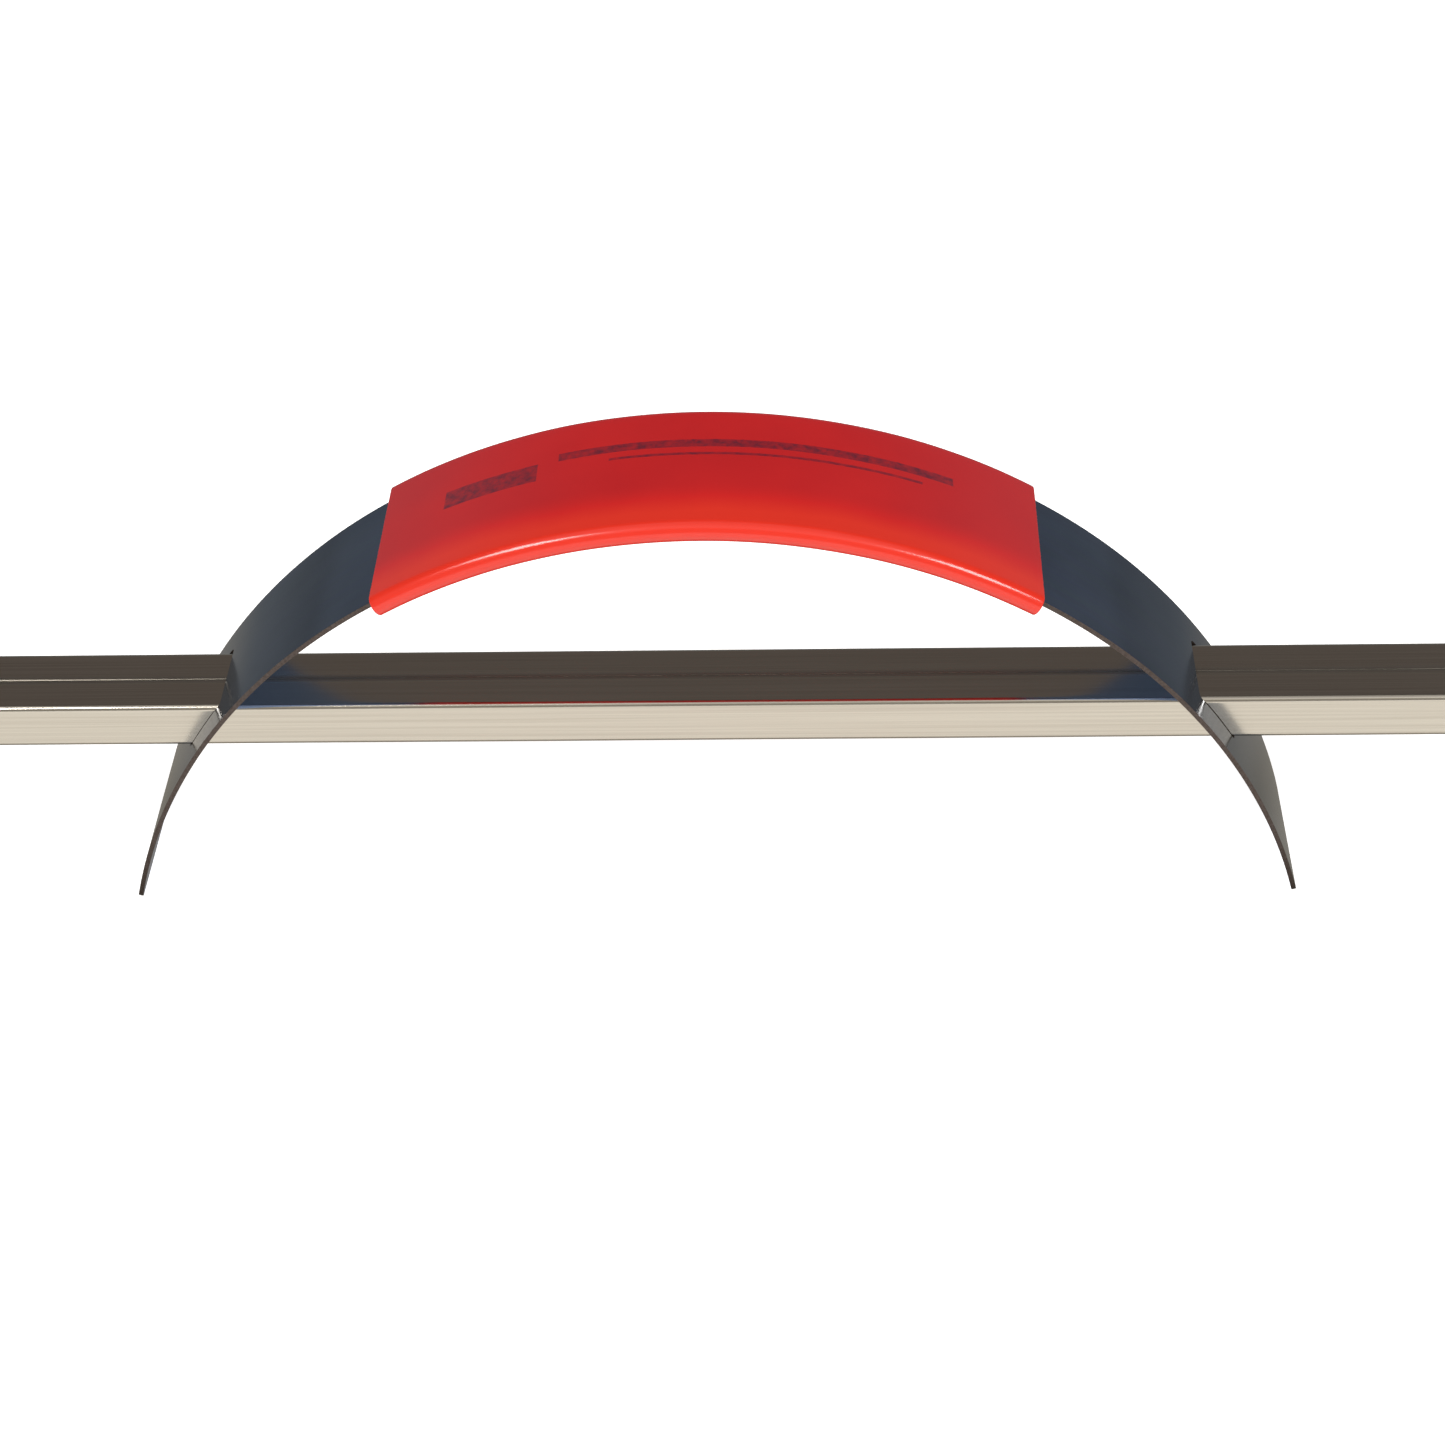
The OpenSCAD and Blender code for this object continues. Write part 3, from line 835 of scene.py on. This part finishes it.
class SWEEPER_OT_stage(bpy.types.Operator):
    """Lays the pale floor and sets the studio light and the camera"""

    bl_idname = "sweeper.stage"
    bl_label = "Stage"

    def execute(self, context):
        scene, stage, colours = context.scene, context.scene.sweeper_stage, context.scene.sweeper_colours
        paper, tree, shader = new_material("paper_matt_pale")
        place = node(tree, "ShaderNodeTexCoord").outputs["Object"]
        fibre = node(tree, "ShaderNodeTexNoise", {"Scale": 900.0, "Detail": 2.0}, {"Vector": place})
        relief = node(tree, "ShaderNodeBump", {"Strength": 0.02, "Distance": 0.0001},
                      {"Height": fibre.outputs["Fac"]})
        # The paper is pale wherever it is looked at. What the steel mirrors is painted light and shade: a
        # painted pool of
        #         light on the sheet in front of the bar, a painted shadow on the paper behind it and, further
        #         out, a cooler painted shade.
        axes = node(tree, "ShaderNodeSeparateXYZ", links={"Vector": place})
        painted_light_pool = node(tree, "ShaderNodeMapRange", {"From Min": -0.015, "From Max": -0.055},
                   {"Value": axes.outputs["Y"]}, interpolation_type="SMOOTHSTEP")
        out = node(tree, "ShaderNodeVectorMath", links={0: place}, operation="LENGTH")
        away = node(tree, "ShaderNodeMapRange", {"From Min": 0.16, "From Max": 0.32},
                    {"Value": out.outputs["Value"]}, interpolation_type="SMOOTHSTEP")
        seen = node(tree, "ShaderNodeLightPath").outputs["Is Camera Ray"]
        for socket, near, far, bright, direct in (
                ("Base Color", (0.10, 0.10, 0.10, 1), (0.06, 0.065, 0.065, 1), (0.6, 0.59, 0.58, 1),
                 linear(colours.floor)),
                ("Emission Color", (0.235, 0.215, 0.175, 1), (0.145, 0.155, 0.16, 1), (0.69, 0.69, 0.665, 1),
                 (0.86, 0.855, 0.85, 1))):
            painted_floor_shade = node(tree, "ShaderNodeMix", {"A": near, "B": far}, {"Factor": away.outputs["Result"]},
                          data_type="RGBA")
            mirrored = node(tree, "ShaderNodeMix", {"B": bright},
                            {"Factor": painted_light_pool.outputs["Result"], "A": painted_floor_shade.outputs["Result"]},
                            data_type="RGBA")
            shown = node(tree, "ShaderNodeMix", {"B": direct},
                         {"Factor": seen, "A": mirrored.outputs["Result"]}, data_type="RGBA")
            tree.links.new(shown.outputs["Result"], shader.inputs[socket])
        finish_shader(tree, shader, Normal=relief.outputs["Normal"], Roughness=0.9, Emission_Strength=1.0)
        bm = bmesh.new()
        bmesh.ops.create_grid(bm, x_segments=8, y_segments=8, size=FLOOR_REACH)
        mesh = bpy.data.meshes.new("floor")
        bm.to_mesh(mesh)
        bm.free()
        mesh.materials.append(paper)
        floor = bpy.data.objects.new("floor", mesh)
        scene.collection.objects.link(floor)

        world = bpy.data.worlds.new("studio")
        scene.world = world
        world.use_nodes = True
        tree = world.node_tree
        tree.nodes.clear()
        way = node(tree, "ShaderNodeTexCoord").outputs["Generated"]
        height = node(tree, "ShaderNodeSeparateXYZ", links={"Vector": way})
        sky = node(tree, "ShaderNodeValToRGB", links={"Fac": height.outputs["Z"]},
                   ramp=[(0.0, (0.235, 0.255, 0.27, 1)), (0.30, (0.225, 0.24, 0.26, 1)),
                         (0.52, (0.14, 0.12, 0.113, 1)), (0.8, (0.12, 0.11, 0.105, 1))])
        front = node(tree, "ShaderNodeMapRange", {"From Min": -0.05, "From Max": -0.5},
                     {"Value": height.outputs["Y"]}, interpolation_type="SMOOTHSTEP")
        room = node(tree, "ShaderNodeMix", {"B": (0.40, 0.385, 0.36, 1)},
                    {"Factor": front.outputs["Result"], "A": sky.outputs["Color"]}, data_type="RGBA")
        seen = node(tree, "ShaderNodeLightPath").outputs["Is Camera Ray"]
        shown = node(tree, "ShaderNodeMix", {"B": (0.86, 0.86, 0.86, 1)},
                     {"Factor": seen, "A": room.outputs["Result"]}, data_type="RGBA")
        ground = node(tree, "ShaderNodeBackground", {"Strength": 1.0}, {"Color": shown.outputs["Result"]})
        node(tree, "ShaderNodeOutputWorld", links={"Surface": ground.outputs["Background"]})

        # Two soft boxes stand in front, left and right, and a weak broad one lights from above
        for name, way, wide, deep, power in (
                ("soft_box_left", (-0.468, -0.39, 0.80), 0.42, 0.30, 6),
                ("soft_box_right", (0.608, -0.42, 0.674), 0.42, 0.30, 6),
                ("soft_box_top", (0.0, -0.25, 1.0), 1.8, 1.6, 4)):
            light = bpy.data.lights.new(name, "AREA")
            light.shape, light.size, light.size_y, light.energy = "RECTANGLE", wide, deep, power
            lamp = bpy.data.objects.new(name, light)
            scene.collection.objects.link(lamp)
            lamp.location = Vector(way).normalized() * LAMP_DISTANCE
            lamp.rotation_euler = Vector(way).to_track_quat("Z", "Y").to_euler()

        lens = bpy.data.cameras.new("camera")
        lens.lens, lens.sensor_width, lens.clip_start, lens.clip_end = stage.lens, 36.0, 0.01, 50.0
        camera = bpy.data.objects.new("camera", lens)
        scene.collection.objects.link(camera)
        h, t, r = stage.heading, stage.tilt, stage.roll
        look = Vector((math.sin(h) * math.cos(t), math.cos(h) * math.cos(t), -math.sin(t)))
        right = Vector((math.cos(h), -math.sin(h), 0))
        up = right.cross(look)
        right, up = math.cos(r) * right + math.sin(r) * up, math.cos(r) * up - math.sin(r) * right
        turn = Matrix((right, up, -look)).transposed().to_4x4()
        camera.matrix_world = Matrix.Translation(stage.place) @ turn
        scene.camera = camera
        scene.view_settings.view_transform = "Standard"
        return {"FINISHED"}


class SWEEPER_PT_panel(bpy.types.Panel):
    """The sweeper's pieces, sizes and colours"""

    bl_idname = "SWEEPER_PT_panel"
    bl_label = "Nail sweeper"
    bl_space_type = "VIEW_3D"
    bl_region_type = "UI"
    bl_category = "Sweeper"

    def draw(self, context):
        for operator in OPERATORS:
            self.layout.operator(operator.bl_idname)
        scene = context.scene
        for group in (scene.sweeper_sizes, scene.sweeper_colours, scene.sweeper_stage):
            box = self.layout.box()
            for key in group.__annotations__:
                box.prop(group, key)


OPERATORS = (SWEEPER_OT_handle_strap, SWEEPER_OT_grip_sleeve, SWEEPER_OT_bar_case, SWEEPER_OT_end_plugs,
             SWEEPER_OT_end_rivets, SWEEPER_OT_magnet_stack, SWEEPER_OT_stage)
CLASSES = (SweeperSizes, SweeperColours, SweeperStage) + OPERATORS + (SWEEPER_PT_panel,)


def register():
    for item in CLASSES:
        bpy.utils.register_class(item)
    bpy.types.Scene.sweeper_sizes = bpy.props.PointerProperty(type=SweeperSizes)
    bpy.types.Scene.sweeper_colours = bpy.props.PointerProperty(type=SweeperColours)
    bpy.types.Scene.sweeper_stage = bpy.props.PointerProperty(type=SweeperStage)


def unregister():
    del bpy.types.Scene.sweeper_sizes, bpy.types.Scene.sweeper_colours, bpy.types.Scene.sweeper_stage
    for item in reversed(CLASSES):
        bpy.utils.unregister_class(item)


def main():
    register()
    bpy.ops.sweeper.handle_strap()
    bpy.ops.sweeper.grip_sleeve()
    bpy.ops.sweeper.bar_case()
    bpy.ops.sweeper.end_plugs()
    bpy.ops.sweeper.end_rivets()
    bpy.ops.sweeper.magnet_stack()
    bpy.ops.sweeper.stage()


if __name__ == "__main__":
    main()
